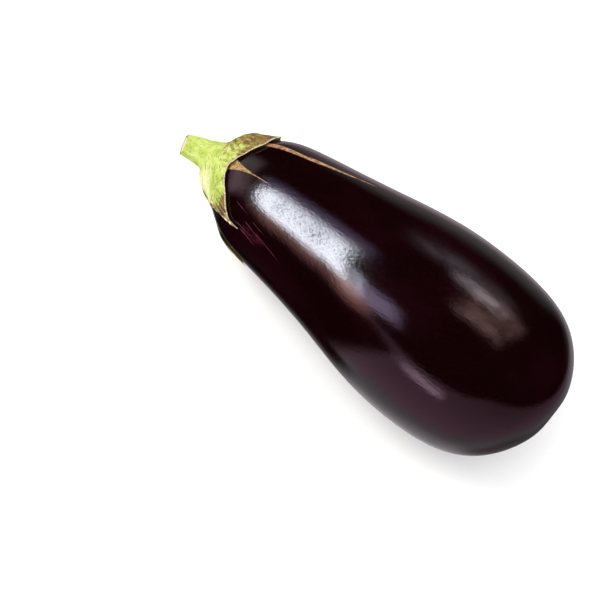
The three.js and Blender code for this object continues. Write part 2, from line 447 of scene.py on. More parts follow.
def outlineColumns():
    # columns spread evenly along the outline: angle round, reach, and how near a tip each is
    corners = [(math.radians(angle) * calyxForm["edgeRadius"], reach) for angle, reach in calyxOutline]
    walked = [0.0]
    for first, second in zip(corners, corners[1:]):
        walked.append(walked[-1] + max(math.dist(first, second), 0.001))
    tips = [at for at, (angle, _) in zip(walked, calyxOutline) if angle in calyxForm["tips"]]
    columns = []
    for column in range(calyxForm["columns"]):
        at = walked[-1] * column / calyxForm["columns"]
        along = np.interp(at, walked, [corner[0] for corner in calyxOutline])
        reach = np.interp(at, walked, [corner[1] for corner in calyxOutline])
        toTip = min(abs(at - tip) for tip in tips)
        columns.append((along, reach, toTip))
    return columns


def stemPoint(share, turn):
    cut, bend, foot = stemForm["cut"], stemForm["bend"], stemForm["foot"]
    centre = cut * (1 - share) ** 2 + bend * 2 * share * (1 - share) + foot * share ** 2
    tangent = ((bend - cut) * (1 - share) + (foot - bend) * share).normalized()
    upward = tangent.cross(Vector((0, 1, 0))).normalized()
    sideways = upward.cross(tangent)
    fade = 1 - smoothStep(share, *stemForm["ridgesFade"])
    wander = sum(size * math.sin(times * turn + start) for size, times, start in stemForm["ridgeWander"])
    ridge = stemForm["ridgeHeight"] * math.cos(stemForm["ridges"] * turn + wander)
    usual, more = stemForm["ridgeSwell"]
    ridge *= usual + more * math.sin(turn + 1)
    radius = stemRadius(share) + ridge * fade
    slant = math.tan(math.radians(stemForm["cutSlant"])) * max(1 - share / stemForm["cutReach"], 0)
    return (centre + upward * radius * math.cos(turn) + sideways * radius * math.sin(turn)
            + tangent * slant * radius * math.cos(turn))


def cutPoint(share, turn):
    # the cut face, from its middle to its rim: a little hollow, with a raised dry rim
    cut = stemForm["cut"]
    rim = stemPoint(0, turn)
    tangent = (stemForm["bend"] - cut).normalized()
    rough = noise.noise(Vector((share * 3 * math.cos(turn), share * 3 * math.sin(turn), 5)))
    rough *= stemForm["cutRoughness"] * share
    hollow = stemForm["cutHollow"] * (1 - share ** 3) + rough
    return cut + (rim - cut) * share + tangent * hollow


def gaussian(offset, spread):
    return math.exp(-(offset / spread) ** 2)


def calyxPoint(edgeAngle, evenAngle, reach, toTip, share, top):
    # a point of the calyx's outside (top 1), underside (0) or edge (between), by share from stem to edge
    form = calyxForm
    hub = math.asin(form["stemHole"] / fruitForm["neckRoundness"])
    along = mix(hub, alongAt(reach), share)
    _, radius, distance = meridian(along)
    swing = form["witheredSwing"] * gaussian(edgeAngle - form["witheredAngle"], form["swingSpread"])
    swing *= 1 - smoothStep(distance, *form["swingEnd"])
    angle = mix(evenAngle, edgeAngle - swing, smoothStep(share, 0, form["evenUntil"]))
    turn = math.radians(angle)
    place = Vector((distance, radius * math.cos(turn), radius * math.sin(turn)))

    # how far the point lies in each odd place
    hump, dip, shoulder, ribbon, tail, withered = [
        gaussian(angle - form[name + "Angle"], form[name + "Spread"])
        for name in ("hump", "dip", "shoulder", "ribbon", "tail", "withered")]
    hump *= gaussian(share - form["humpShare"], form["humpLength"])
    dip *= smoothStep(share, 0, form["dipEnd"])
    shoulder *= gaussian(share - form["shoulderShare"], form["shoulderLength"])
    shoulder *= 1 - smoothStep(distance, *form["shoulderEnd"])
    ribbon *= smoothStep(distance, *form["ribbonFrom"])
    tail *= smoothStep(distance, *form["tailFrom"])
    withered *= smoothStep(distance, *form["witheredFrom"])

    # height over the underside: collar or lobe, whichever is higher, and what stands on it
    outFromStem = max(radius - form["stemHole"], 0) / form["collarSpread"]
    collar = (form["collarHeight"] - form["dipDepth"] * dip) * math.exp(-outFromStem ** form["collarFade"])
    body = mix(form["thickness"], form["edgeThickness"], share ** form["thinning"])
    body *= (1 - form["witheredThinning"] * withered) * (1 - form["tailThinning"] * tail)
    rib = form["ribHeight"] * gaussian(toTip, form["ribWidth"]) * math.sin(pi * min(share + 0.1, 1))
    crease = math.sin(math.radians(edgeAngle) * form["edgeRadius"] * form["creaseRate"]
                      + form["creaseWander"] * noise.noise(place / 4))
    veins = form["veinHeight"] * noise.noise(Vector((evenAngle / form["veinWidth"], share * 0.8, 3)))
    veins *= 1 - share ** form["veinFade"]
    lumps = sum(height * noise.noise(place / size) for height, size in form["lumps"])
    height = (max(collar, body) + rib + form["humpHeight"] * hump + form["shoulderHeight"] * shoulder
              + form["creaseHeight"] * ribbon * crease * (1 - tail)
              + (veins + lumps) * mix(form["reliefAtStem"], 1, share) * min(body, form["lumpLimit"]))

    # how far the edge curls off the skin
    wave = noise.noise(Vector((math.cos(turn) * 6, math.sin(turn) * 6, distance / 5)))
    curl = form["curlHeight"] * mix(form["curlBetween"], 1, gaussian(toTip, form["curlWidth"]))
    curl += form["curlWave"] * wave
    curl *= (share ** form["curlStart"] * (1 - form["curlWithered"] * withered)
             * (1 - form["curlRibbon"] * ribbon))
    usual, more = form["tailTwist"]
    twist = usual + more * noise.noise(Vector((distance / form["tailTwistLength"], 0, 9)))
    curl += form["tailCurl"] * tail * twist
    lift = form["gap"] + height * top + max(curl, 0)
    axial, radial = outward(along)
    square = smoothStep(radius, form["stemHole"], form["squareBy"])
    axial = mix(-1, axial, square)
    radial *= square
    size = math.hypot(axial, radial)

    dry = calyxDryness
    dryness = (dry["hump"] * gaussian(angle - form["humpAngle"], dry["humpSpread"])
               * smoothStep(share, *dry["humpFrom"])
               + dry["ribbon"] * ribbon + dry["edge"] * smoothStep(share, *dry["edgeFrom"])
               + dry["far"] * smoothStep(distance, *dry["farFrom"]) + dry["withered"] * withered + tail
               + gaussian(angle - dry["bleachedAngle"], dry["bleachedSpread"])
               * smoothStep(distance, *dry["bleachedFrom"]))
    # how deep in a crease: the troughs of the ribbon's creases, and the whole withered lobe; the calyx
    # material paints this dark, which is painted shade in the creases as well as the dry ribbon's own
    # brown
    creased = ribbon * (0.5 - 0.5 * crease) * (1 - tail) + dry["witheredCrease"] * withered
    return skinPoint(along, turn, axial / size * lift, radial / size * lift), min(dryness, 2.0), creased


def calyxRow(row, columns):
    # one row of the mesh: for each column its place, how dry it is and how deep in a crease
    plan = rowPlan
    cutEnd = plan["cut"]
    sideEnd = cutEnd + plan["side"]
    topEnd = sideEnd + plan["top"]
    edgeEnd = topEnd + plan["edge"]
    underEnd = edgeEnd + plan["under"]
    slow, fine = calyxForm["raggedSteps"]
    ring = []
    for index, (edgeAngle, reach, toTip) in enumerate(columns):
        evenAngle = -180 + 360 * index / len(columns)
        turn = math.radians(evenAngle)
        ragged = noise.noise(Vector((index * slow, reach * 0.05, 1)))
        ragged += calyxForm["fineRagged"] * noise.noise(Vector((index * fine, 7, 1)))
        reach += calyxForm["raggedness"] * ragged
        dryness, crease = 0.0, 0.0
        if row <= cutEnd:
            place = cutPoint(max(row / cutEnd, 0.01) ** rowCrowding["cut"], turn)
        elif row <= sideEnd:
            share = ((row - cutEnd) / plan["side"]) ** rowCrowding["side"]
            place = stemPoint(stemForm["shownShare"] * share, turn)
        elif row <= topEnd:
            share = 1 - (1 - (row - sideEnd) / plan["top"]) ** rowCrowding["top"]
            place, dryness, crease = calyxPoint(edgeAngle, evenAngle, reach, toTip, share, 1)
        elif row <= edgeEnd:
            down = (row - topEnd) / (plan["edge"] + 1)
            bulge = calyxForm["edgeBulge"] * math.sin(pi * down)
            place, dryness, crease = calyxPoint(edgeAngle, evenAngle, reach + bulge, toTip, 1, 1 - down)
        elif row <= underEnd:
            share = (underEnd + 1 - row) / (plan["under"] + 1)
            place, dryness, crease = calyxPoint(edgeAngle, evenAngle, reach, toTip, share, 0)
        else:
            share = max(underEnd + plan["hub"] + 1 - row, 0.02) / (plan["hub"] + 1)
            along = math.asin(share * calyxForm["stemHole"] / fruitForm["neckRoundness"])
            place = skinPoint(along, turn, -calyxForm["gap"], 0)
        ring.append((place, dryness, crease))
    return ring


def makeCalyx():
    # a grid rolled up: its last column meets its first, and its end rows close to points
    columns = outlineColumns()
    rows = sum(rowPlan.values()) + 1
    cuts = 4
    deselectAll()
    bpy.ops.mesh.primitive_grid_add(x_subdivisions=len(columns) // cuts,
                                    y_subdivisions=rows // cuts, size=2)
    calyx = bpy.context.active_object
    calyx.name = "calyxAndStem"
    bpy.ops.object.mode_set(mode="EDIT")
    bpy.ops.mesh.select_all(action="SELECT")
    bpy.ops.mesh.subdivide(number_cuts=cuts - 1)
    bpy.ops.object.mode_set(mode="OBJECT")
    rings = [calyxRow(row, columns) for row in range(rows + 1)]
    dryness = calyx.data.attributes.new("dryness", "FLOAT", "POINT")
    crease = calyx.data.attributes.new("creaseDepth", "FLOAT", "POINT")
    for vertex in calyx.data.vertices:
        column = round((vertex.co.x + 1) / 2 * len(columns)) % len(columns)
        row = round((1 - vertex.co.y) / 2 * rows)
        vertex.co, dryness.data[vertex.index].value, crease.data[vertex.index].value = rings[row][column]
    calyx.data.uv_layers[0].name = "calyxMap"
    bpy.ops.object.mode_set(mode="EDIT")
    bpy.ops.mesh.select_all(action="SELECT")
    bpy.ops.mesh.remove_doubles(threshold=0.0005)       # mm, so only where the grid's sides meet
    bpy.ops.mesh.normals_make_consistent(inside=False)
    bpy.ops.object.mode_set(mode="OBJECT")
    applyModifier(calyx, "SUBSURF", levels=1, render_levels=1)
    bpy.ops.object.mode_set(mode="EDIT")
    bpy.ops.mesh.select_mode(type="EDGE")
    bpy.ops.mesh.select_all(action="DESELECT")
    bpy.ops.mesh.select_non_manifold()
    bpy.ops.mesh.merge(type="COLLAPSE")        # the two open ends close to points
    bpy.ops.object.mode_set(mode="OBJECT")
    calyx.data.transform(lay)
    bpy.ops.object.shade_smooth()
    return calyx


calyx = makeCalyx()
print("calyx and stem:", len(calyx.data.polygons), "faces")


# marks on the skin: start and end as mm from the neck pole and degrees round, half widths in mm
skinMarks = [
    # corky cracks under the calyx's edge
    {"start": (16, 3.6), "end": (46, 6.4), "wide": 6.4, "thin": 0.12, "taper": 3.1, "kind": "cork"},
    {"start": (22, 43.0), "end": (58, 50.0), "wide": 2.3, "thin": 0.7, "taper": 1.4, "kind": "cork"},
    {"start": (50, 49.0), "end": (86, 59.5), "wide": 1.3, "thin": 0.22, "taper": 1.6, "kind": "cork"},
    # scratches where the skin is rubbed red
    {"start": (46, -39.9), "end": (58, -43.2), "wide": 0.17, "thin": 0.08, "taper": 1, "kind": "rubbed"},
    {"start": (38, -22.0), "end": (47, -24.6), "wide": 0.1, "thin": 0.05, "taper": 1, "kind": "rubbed"},
    {"start": (43, -36.8), "end": (53, -38.7), "wide": 0.12, "thin": 0.06, "taper": 1, "kind": "rubbed"},
    {"start": (47.5, -31.0), "end": (62, -36.4), "wide": 0.12, "thin": 0.06, "taper": 1, "kind": "rubbed"},
    {"start": (56, -33.0), "end": (74, -38.0), "wide": 0.09, "thin": 0.05, "taper": 1, "kind": "rubbed"},
    {"start": (52, -27.0), "end": (60, -29.2), "wide": 0.09, "thin": 0.05, "taper": 1, "kind": "rubbed"},
    {"start": (47, -37.5), "end": (62, -37.5), "wide": 1.9, "thin": 0.8, "taper": 0.6, "kind": "flushed"},
]

markEdges = {
    "mmPerDegree": 0.5,          # near enough all over the neck
    "ragged": 1.1,               # how far the rough pattern moves an edge, mm
    "raggedShare": 2.2,          # and, on thin marks, as a share of their end's width
    "raggedMost": 1.2,
    "soft": 0.15,
    "startSoft": (-1, 1),
    "endSoft": (1, -4),
}

skinFinish = {
    # cells along and across the fruit in mm, noise detail, noise roughness
    "patterns": {
        "slow": (60, 25, 3, 0.5),
        "flecks": (2.4, 0.7, 3, 0.5),
        "rough": (2.2, 0.9, 4, 0.65),
        "specks": (1.5, 0.8, 2, 0.5),
        "streaks": (8.0, 1.3, 1, 0.5),
        "grain": (2.6, 0.85, 1, 0.5),        # coarser than pores, so that it shows
        "pebble": (1.9, 0.6, 1, 0.5),
    },
    "deep": "0a0001",
    "patch": "110104",
    "patchFrom": (0.42, 0.66),
    "fleck": "1d0710",
    "flushed": "360c1e",
    "rubbed": "6c3c4c",
    # what brings each of these out: pattern, from, to, weakest, strongest
    "layers": {
        "fleck": ("flecks", 0.55, 0.75, 0, 0.3),
        "flushed": ("grain", 0.4, 0.62, 0, 0.9),
        "rubbed": ("rough", 0.35, 0.6, 0.25, 0.9),
    },
    "corkMiddle": "83683a", "corkPale": "a98c50",
    "freshMiddle": "805438", "freshPale": "b58c5e",
    "freshFrom": (20, 35),                # degrees round: the upper crack is younger
    "corkDark": "46240f",
    "paleFrom": (0.38, 0.62),
    "pittedFrom": (0.5, 0.6), "pitted": 0.85,
    "corkRoughness": 0.75,
    "scarRadius": 3.3, "scarWander": 2, "scarSoft": 0.3,      # mm
    "heights": {"pebble": 0.7, "streaks": 0.6, "cork": 4.0},     # against the grain's 1
    "grainDepth": 0.00003,                # m, depth of the bump
    "roughness": (0.09, 0.13),
}


def makeSkinMaterial():
    # waxy eggplant skin: near-black purple under a clear gloss that fine lengthwise grain breaks up
    finish = skinFinish
    material = newMaterial("waxyPurpleSkin")
    tree = material.node_tree
    skinMap = addNode(tree, "UVMap", uv_map="skinMap")
    turns = addNode(tree, "SeparateXYZ", [skinMap])
    shares = addNode(tree, "SeparateXYZ", [skinMap], out=1)
    degrees = addNode(tree, "Math", [turns, 360.0, -180.0], operation="MULTIPLY_ADD")
    distance = addNode(tree, "Math", [shares, float(fruitForm["length"])], operation="MULTIPLY")

    # object space turned to the fruit's own axis, so that the cells lie lengthwise
    where = addNode(tree, "TexCoord", out="Object")
    turned = addNode(tree, "VectorRotate", {0: where, "Angle": math.radians(fruitForm["pitch"])},
                     rotation_type="Y_AXIS")
    pattern = {}
    for name, (along, across, detail, gain) in finish["patterns"].items():
        cells = addNode(tree, "VectorMath", [turned, (1000 / along, 1000 / across, 1000 / across)],
                        operation="MULTIPLY")
        pattern[name] = addNode(tree, "TexNoise", {"Vector": cells, "Scale": 1.0, "Detail": detail,
                                                   "Roughness": gain})

    # each mark is 1 inside its own ragged outline; marks of a kind are joined
    edges = markEdges
    ragged = addNode(tree, "Math", [pattern["rough"], edges["ragged"], -edges["ragged"] / 2],
                     operation="MULTIPLY_ADD")
    masks = {}
    for mark in skinMarks:
        (startX, startTurn), (endX, endTurn) = mark["start"], mark["end"]
        wide, thin, kind = mark["wide"], mark["thin"], mark["kind"]
        left = addNode(tree, "MapRange", [distance, startX, endX, 1, 0])
        middle = addNode(tree, "MapRange", [distance, startX, endX, startTurn, endTurn])
        aside = addNode(tree, "Math", [degrees, middle], operation="SUBTRACT")
        aside = addNode(tree, "Math", [aside], operation="ABSOLUTE")
        width = addNode(tree, "Math", [left, mark["taper"]], operation="POWER")
        width = addNode(tree, "Math", [width, thin - wide, -thin], operation="MULTIPLY_ADD")
        past = addNode(tree, "Math", [aside, edges["mmPerDegree"], width], operation="MULTIPLY_ADD")
        past = addNode(tree, "Math", [ragged, min(thin * edges["raggedShare"], edges["raggedMost"]),
                                      past], operation="MULTIPLY_ADD")
        mask = addNode(tree, "MapRange", [past, edges["soft"], -edges["soft"]], **softRange)
        for place, (first, last) in ((startX, edges["startSoft"]), (endX, edges["endSoft"])):
            end = addNode(tree, "MapRange", [distance, place + first, place + last])
            mask = addNode(tree, "Math", [mask, end], operation="MULTIPLY")
        if kind in masks:
            mask = addNode(tree, "Math", [masks[kind], mask], operation="MAXIMUM")
        masks[kind] = mask

    share = addNode(tree, "MapRange", [pattern["slow"], *finish["patchFrom"]], **softRange)
    colour = addNode(tree, "Mix", {0: share, 6: hexToLinear(finish["deep"]),
                                   7: hexToLinear(finish["patch"])}, **colourMix)
    for name, (follows, *span) in finish["layers"].items():
        share = addNode(tree, "MapRange", [pattern[follows], *span])
        if name in masks:
            share = addNode(tree, "Math", [share, masks[name]], operation="MULTIPLY")
        colour = addNode(tree, "Mix", {0: share, 6: colour, 7: hexToLinear(finish[name])}, **colourMix)

    # cork, in the cracks and on the scar at the blossom end
    share = addNode(tree, "MapRange", [pattern["rough"], *finish["paleFrom"]], **softRange)
    old, young = [addNode(tree, "Mix", {0: share, 6: hexToLinear(finish[name + "Middle"]),
                                        7: hexToLinear(finish[name + "Pale"])},
                          **colourMix) for name in ("cork", "fresh")]
    share = addNode(tree, "MapRange", [degrees, *finish["freshFrom"]])
    cork = addNode(tree, "Mix", {0: share, 6: old, 7: young}, **colourMix)
    share = addNode(tree, "MapRange", [pattern["specks"], *finish["pittedFrom"], 0, finish["pitted"]])
    cork = addNode(tree, "Mix", {0: share, 6: cork, 7: hexToLinear(finish["corkDark"])}, **colourMix)
    pole = lay @ skinPoint(pi, 0)
    scar = addNode(tree, "VectorMath", [where, pole], out="Value", operation="DISTANCE")
    scar = addNode(tree, "Math", [pattern["rough"], finish["scarWander"] * mm, scar],
                   operation="MULTIPLY_ADD")
    scar = addNode(tree, "MapRange", [scar, (finish["scarRadius"] + finish["scarSoft"]) * mm,
                                      (finish["scarRadius"] - finish["scarSoft"]) * mm])
    dry = addNode(tree, "Math", [masks["cork"], scar], operation="MAXIMUM")
    colour = addNode(tree, "Mix", {0: dry, 6: colour, 7: cork}, **colourMix)

    height = pattern["grain"]
    pattern["cork"] = addNode(tree, "Math", [dry, pattern["rough"]], operation="MULTIPLY")
    for name, weight in finish["heights"].items():
        height = addNode(tree, "Math", [pattern[name], weight, height], operation="MULTIPLY_ADD")
    bump = addNode(tree, "Bump", {"Strength": 1.0, "Distance": finish["grainDepth"], "Height": height})
    smooth, dull = finish["roughness"]
    roughness = addNode(tree, "MapRange", [pattern["flecks"], *noiseSpan, smooth, dull])
    corkRoughness = addNode(tree, "Math", [dry, finish["corkRoughness"]], operation="MULTIPLY")
    roughness = addNode(tree, "Math", [roughness, corkRoughness], operation="MAXIMUM")
    surface = addNode(tree, "BsdfPrincipled", {"Base Color": colour, "Roughness": roughness, "IOR": 1.46,
                                               "Normal": bump})
    addNode(tree, "OutputMaterial", {"Surface": surface})
    return material


calyxFinish = {
    "bright": "9cb246", "pale": "b3c168", "green": "7a9424", "cream": "d6cfa8",
    "olive": "7a6c24", "brown": "4c3612", "dark": "20140a", "rust": "7c5424",
    "bleachedPale": "d9c9aa", "bleachedDark": "6b5230",
    "edgePale": "d3c3a4", "edgeDark": "8c7450",
    "pithPale": "d2caa2", "pithDark": "b0a476", "rim": "6a5430",
    "fibreCells": (110, 9),      # times round and down the calyx's map
    # patterns: how many to a metre, noise detail
    "broad": (180.0, 2.0),       # 5.6 mm
    "mottle": (520.0, 4.0),      # 1.9 mm
    "fine": (1500.0, 3.0),       # 0.7 mm
    "net": 420.0,                # 2.4 mm
    # the mottle and the fibres together break up the veins and the dry areas, which dryness makes wider
    "veinShares": (0.65, 0.45),
    "dryShare": 0.22,
    # soft masks: what each follows, from, to, strongest
    "masks": {
        "paleAreas": ("broad", 0.38, 0.62, 1),
        "fibreLines": ("fibres", 0.48, 0.72, 0.55),
        "shoulderNear": ("across", 0.27, 0.34, 1),
        "shoulderFar": ("across", 0.52, 0.45, 1),
        "shoulderLow": ("fromStem", 0.06, 0.2, 1),
        "greenSpecks": ("fine", 0.54, 0.7, 0.5),
        "drying": ("dried", 0.56, 0.72, 0.9),
        "dryer": ("dried", 0.68, 0.82, 0.85),
        "strokes": ("fibres", 0.52, 0.62, 1),
        "strokeAreas": ("dryness", 0.15, 0.6, 0.75),
        "netLines": ("net", 0.12, 0.03, 1),
        "netAreas": ("dryness", 0.3, 0.7, 0.8),
        "creaseShade": ("creaseDepth", 0.4, 0.85, 0.9),
        "bleachedVeins": ("veined", 0.45, 0.62, 1),
        "bleachedAreas": ("dryness", 1.3, 1.8, 1),
        "edgeSpecks": ("fine", 0.4, 0.6, 1),
    },
    "speckled": (0.4, 0.6, 0.5),              # from, to, weakest
    # from and to, as shares of all rows above the calyx's edge or, for the last two, the cut's rim
    "borders": {
        "innerEdge": (0.034, 0.018),
        "outerEdge": (-0.09, -0.05),
        "cut": (-0.004, 0.002),
        "nearCut": (0.03, 0.016),
    },
    "edgeWander": 0.022,
    # what is laid over what, in order: its colour and the masks that are multiplied
    "layers": [
        ("pale", ["paleAreas"]),
        ("green", ["fibreLines"]),
        ("cream", ["shoulderNear", "shoulderFar", "shoulderLow", "speckled"]),
        ("green", ["greenSpecks"]),
        ("olive", ["drying"]),
        ("brown", ["dryer"]),
        ("brown", ["strokes", "strokeAreas"]),       # dark lengthwise strokes
        ("rust", ["netLines", "netAreas"]),          # a fine rusty net where the hump has dried
        # painted shade: dark brown in the troughs of the ribbon's creases, where shade falls, mixed with
        # the dry ribbon's brown stripes; also dark all over the withered lobe
        ("dark", ["creaseShade"]),
        ("bleached", ["bleachedAreas"]),
        ("dryEdge", ["innerEdge", "outerEdge"]),
        ("pith", ["cut"]),
        ("rim", ["cut", "nearCut"]),
    ],
    "heights": {"fibres": 0.8, "mottle": 1.3, "fine": 0.5},
    "reliefDepth": 0.0004,       # m
    "reliefStrength": 0.7,
    "roughness": (0.5, 0.75),
}


def makeCalyxMaterial():
    # fresh leathery calyx and stem: yellow-green flesh, olive and rust mottling, dry tan edges and cut rim
    finish = calyxFinish
    material = newMaterial("leatheryGreenCalyx")
    tree = material.node_tree
    rows = sum(rowPlan.values()) + 1
    edgeStart = 1 - (rowPlan["cut"] + rowPlan["side"] + rowPlan["top"]) / rows
    sideEnd = 1 - (rowPlan["cut"] + rowPlan["side"]) / rows
    rimAt = 1 - rowPlan["cut"] / rows
    calyxMap = addNode(tree, "UVMap", uv_map="calyxMap")
    where = addNode(tree, "TexCoord", out="Object")
    fibreMap = addNode(tree, "VectorMath", [calyxMap, (*finish["fibreCells"], 1)], operation="MULTIPLY")
    down = addNode(tree, "SeparateXYZ", [calyxMap], out=1)
    (broad, broadDetail), (mottle, mottleDetail), (fine, fineDetail) = [
        finish[name] for name in ("broad", "mottle", "fine")]
    pattern = {
        "across": addNode(tree, "SeparateXYZ", [calyxMap]),
        "fromStem": addNode(tree, "Math", [sideEnd, down], operation="SUBTRACT"),
        "dryness": addNode(tree, "Attribute", out="Fac", attribute_name="dryness"),
        "creaseDepth": addNode(tree, "Attribute", out="Fac", attribute_name="creaseDepth"),
        "fibres": addNode(tree, "TexNoise", {"Vector": fibreMap, "Scale": 1.0, "Detail": 3.0,
                                             "Roughness": 0.6}),
        "broad": addNode(tree, "TexNoise", {"Vector": where, "Scale": broad, "Detail": broadDetail}),
        "mottle": addNode(tree, "TexNoise", {"Vector": where, "Scale": mottle, "Detail": mottleDetail,
                                             "Roughness": 0.65, "Distortion": 0.6}),
        "fine": addNode(tree, "TexNoise", {"Vector": where, "Scale": fine, "Detail": fineDetail,
                                           "Roughness": 0.6}),
        "net": addNode(tree, "TexVoronoi", {"Vector": where, "Scale": finish["net"]},
                       feature="DISTANCE_TO_EDGE"),
    }
    mottleShare, fibreShare = finish["veinShares"]
    veined = addNode(tree, "Math", [pattern["mottle"], mottleShare], operation="MULTIPLY")
    veined = addNode(tree, "Math", [pattern["fibres"], fibreShare, veined], operation="MULTIPLY_ADD")
    pattern["veined"] = veined
    pattern["dried"] = addNode(tree, "Math", [pattern["dryness"], finish["dryShare"], veined],
                               operation="MULTIPLY_ADD")
    masks = {}
    for name, (follows, start, end, most) in finish["masks"].items():
        masks[name] = addNode(tree, "MapRange", {0: pattern[follows], 1: start, 2: end, 4: most},
                              **softRange)
    masks["speckled"] = addNode(tree, "MapRange", [pattern["mottle"], *finish["speckled"]])
    # the dry edge, ragged by the fine noise, and the cut with its rim
    ragged = addNode(tree, "Math", [pattern["fine"], finish["edgeWander"], down], operation="MULTIPLY_ADD")
    for name, follows, place, settings in (("innerEdge", ragged, edgeStart, softRange),
                                           ("outerEdge", down, edgeStart, softRange),
                                           ("cut", down, rimAt, {}), ("nearCut", down, rimAt, {})):
        start, end = finish["borders"][name]
        masks[name] = addNode(tree, "MapRange", [follows, place + start, place + end], **settings)

    colours = {name: hexToLinear(code) for name, code in finish.items() if isinstance(code, str)}
    for name, share, first, second in (("bleached", "bleachedVeins", "bleachedPale", "bleachedDark"),
                                       ("dryEdge", "edgeSpecks", "edgeDark", "edgePale"),
                                       ("pith", "edgeSpecks", "pithDark", "pithPale")):
        colours[name] = addNode(tree, "Mix", {0: masks[share], 6: colours[first], 7: colours[second]},
                                **colourMix)
    colour = colours["bright"]
    for name, factors in finish["layers"]:
        share = masks[factors[0]]
        for factor in factors[1:]:
            share = addNode(tree, "Math", [share, masks[factor]], operation="MULTIPLY")
        colour = addNode(tree, "Mix", {0: share, 6: colour, 7: colours[name]}, **colourMix)

    height = 0.0
    for name, weight in finish["heights"].items():
        height = addNode(tree, "Math", [pattern[name], weight, height], operation="MULTIPLY_ADD")
    bump = addNode(tree, "Bump", {"Strength": finish["reliefStrength"], "Distance": finish["reliefDepth"],
                                  "Height": height})
    smooth, dull = finish["roughness"]
    roughness = addNode(tree, "MapRange", [pattern["mottle"], *noiseSpan, smooth, dull])
    surface = addNode(tree, "BsdfPrincipled", {"Base Color": colour, "Roughness": roughness, "IOR": 1.42,
                                               "Subsurface Weight": 0.15, "Subsurface Scale": 0.002,
                                               "Subsurface Radius": (1.0, 1.0, 0.3), "Normal": bump})
    addNode(tree, "OutputMaterial", {"Surface": surface})
    return material


floorFinish = {
    "size": 40,                  # m, so that its far edge doesn't show in low views
    "shade": "f2f2f3", "pale": "f7f7f7",
    "grainScale": 900.0,         # about 1 mm
    "roughness": 0.35,
    "specular": 0.3,
}


def makePaperMaterial():
    # plain white sweep paper, a little satin so that it takes a faint reflection
    finish = floorFinish
    material = newMaterial("plainWhiteSweep")
    tree = material.node_tree
    where = addNode(tree, "TexCoord", out="Object")
    grain = addNode(tree, "TexNoise", {"Vector": where, "Scale": finish["grainScale"]})
    colour = addNode(tree, "Mix", {0: grain, 6: hexToLinear(finish["shade"]),
                                   7: hexToLinear(finish["pale"])}, **colourMix)
    surface = addNode(tree, "BsdfPrincipled", {"Base Color": colour, "Roughness": finish["roughness"],
                                               "Specular IOR Level": finish["specular"]})
    addNode(tree, "OutputMaterial", {"Surface": surface})
    return material


def dress(piece, material):
    piece.data.materials.clear()
    piece.data.materials.append(material)


dress(fruit, makeSkinMaterial())
dress(calyx, makeCalyxMaterial())
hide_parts("fruit")
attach(fruit, "root")
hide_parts("calyx", "stem")
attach(calyx, "root")
print("materials made")


def makeFloor():
    deselectAll()
    bpy.ops.mesh.primitive_plane_add(size=floorFinish["size"], location=(0, 0, 0))
    floor = bpy.context.active_object
    floor.name = "floor"
    floor.visible_glossy = False      # the gloss sees the studio's own sweep instead
    dress(floor, makePaperMaterial())


# the studio as the gloss sees it: azimuth and elevation of each panel, full size in degrees, tilt,
# how softly its left, right, lower and upper sides fade, colour, strength and how strongly it is mottled
studioPanels = [
    {"name": "left wall", "place": (-88, 14), "size": (44, 30), "tilt": 0, "soft": (8, 5, 8, 5),
     "colour": "f0dede", "strength": 0.95},
    {"name": "rear lamp", "place": (-165, 48.5), "size": (22, 13), "tilt": -25, "soft": (6, 3, 3.5, 5),
     "colour": "efe2ea", "strength": 3.6, "mottled": 0.8},
    {"name": "rear lamp's fringe", "place": (-160, 36), "size": (34, 16), "tilt": -25,
     "soft": (10, 8, 12, 8), "colour": "dccfdc", "strength": 1.3, "mottled": 0.6},
    {"name": "rear lamp's top", "place": (-170, 77), "size": (26, 11), "tilt": 0, "soft": (5, 5, 4, 5),
     "colour": "f0d0d0", "strength": 1.0},
    {"name": "rear glow", "place": (-184, 62), "size": (32, 44), "tilt": 0, "soft": (7, 5, 7, 7),
     "colour": "f0bcb2", "strength": 1.6, "mottled": 0.9},
    {"name": "front card", "place": (-4, 9), "size": (22, 9), "tilt": -8, "soft": (7, 4, 3, 5),
     "colour": "f0c8e6", "strength": 3.9},
    {"name": "rear floor", "place": (-160, -22), "size": (40, 30), "tilt": 0, "soft": (10, 8, 10, 12),
     "colour": "ece6e6", "strength": 0.3},
    {"name": "rear floor's near part", "place": (-172, -46), "size": (50, 26), "tilt": 0,
     "soft": (14, 14, 12, 12), "colour": "ece6ea", "strength": 0.25},
    {"name": "near floor's left", "place": (-60, -80), "size": (60, 24), "tilt": 0, "soft": (10, 10, 6, 8),
     "colour": "e6dce2", "strength": 0.3},
]
# dark cards stand in front of the sweep, on the left where a second fruit would lie
darkCards = [
    {"place": (-50, -16), "size": (39, 74), "tilt": -22, "soft": (5, 3, 4, 5), "strength": 1.0},
    {"place": (-74, -59), "size": (44, 21), "tilt": 30, "soft": (8, 4, 3, 4), "strength": 1.0},
    {"place": (125, -74), "size": (46, 26), "tilt": 0, "soft": (10, 10, 8, 8), "strength": 0.65},
]
studioLevels = {
    "plain": 1.6,               # what lights matt surfaces and stands behind everything
    "overhead": 0.004,           # the dark studio above
    # the pale sweep below and in front: all round, and what its bright side adds
    "sweep": (0.42, 0.42),
    "sweepColour": "ffc4e2",
    "nearColour": "d6ced5",      # and close by, under the fruit
    "sweepUp": (167, 52),        # direction that faces away from the sweep
    "sweepTop": 21,              # and how high it stands
    "sweepFront": (-15, -35),    # it is brightest here
    "sweepEdge": 0.05,           # how softly it ends, radians
    "nearFrom": (-0.5, -0.78),   # heights of the view direction between which the near colour takes over
    "mottleScale": 9.0,
    "mottleFrom": (0.36, 0.58),
    "mottleBrightest": 1.3,
}
